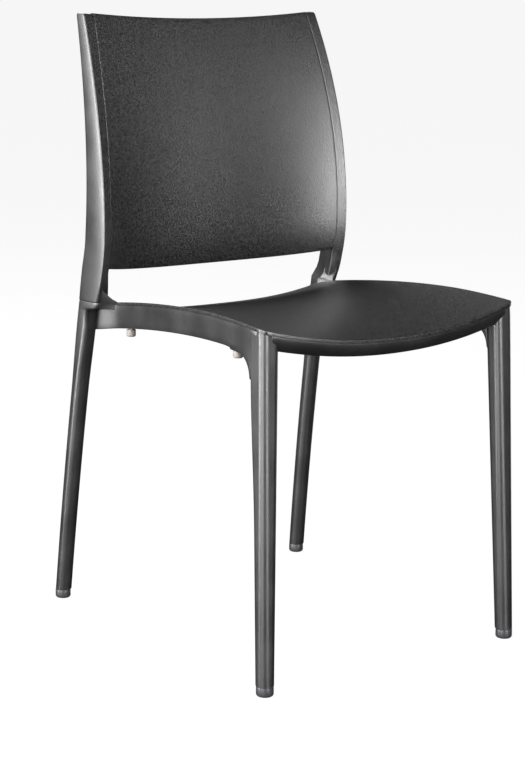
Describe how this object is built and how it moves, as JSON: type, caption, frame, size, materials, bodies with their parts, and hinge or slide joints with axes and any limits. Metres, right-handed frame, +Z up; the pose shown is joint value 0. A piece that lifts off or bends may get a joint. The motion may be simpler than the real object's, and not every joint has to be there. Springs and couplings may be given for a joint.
{
  "type": "stacking chair",
  "caption": "Armless one-piece plastic stacking chair with a curved open-slot back, dished seat, tapered splayed legs, foot glides and stacking buffers under the side rails.",
  "frame": {"origin": "on the floor, under the middle of the chair's overall box", "axes": "+Z up, the sitter faces -Y, +X to the right of someone looking along +Y at the front of the chair"},
  "size_m": [0.4384, 0.4996, 0.821],
  "materials": {
    "body_plastic": "smooth satin moulded plastic, charcoal black",
    "grained_plastic": "fine grained moulded plastic, charcoal black",
    "glide_plastic": "hard smooth plastic, dark grey, slightly worn sole",
    "buffer_plastic": "natural translucent white plastic, soft gloss"
  },
  "bodies": {
    "root": {"seat_panel": "grained_plastic", "back_panel": "grained_plastic", "front_apron": "body_plastic", "rear_rail": "body_plastic", "right_side_rail": "body_plastic", "left_side_rail": "body_plastic", "right_front_leg": "body_plastic", "left_front_leg": "body_plastic", "right_rear_leg": "body_plastic", "left_rear_leg": "body_plastic", "right_upright": "body_plastic", "left_upright": "body_plastic", "right_gusset": "body_plastic", "left_gusset": "body_plastic", "right_front_glide": "glide_plastic", "left_front_glide": "glide_plastic", "right_rear_glide": "glide_plastic", "left_rear_glide": "glide_plastic", "right_front_buffer": "buffer_plastic", "left_front_buffer": "buffer_plastic", "right_rear_buffer": "buffer_plastic", "left_rear_buffer": "buffer_plastic"}
  },
  "joints": []
}
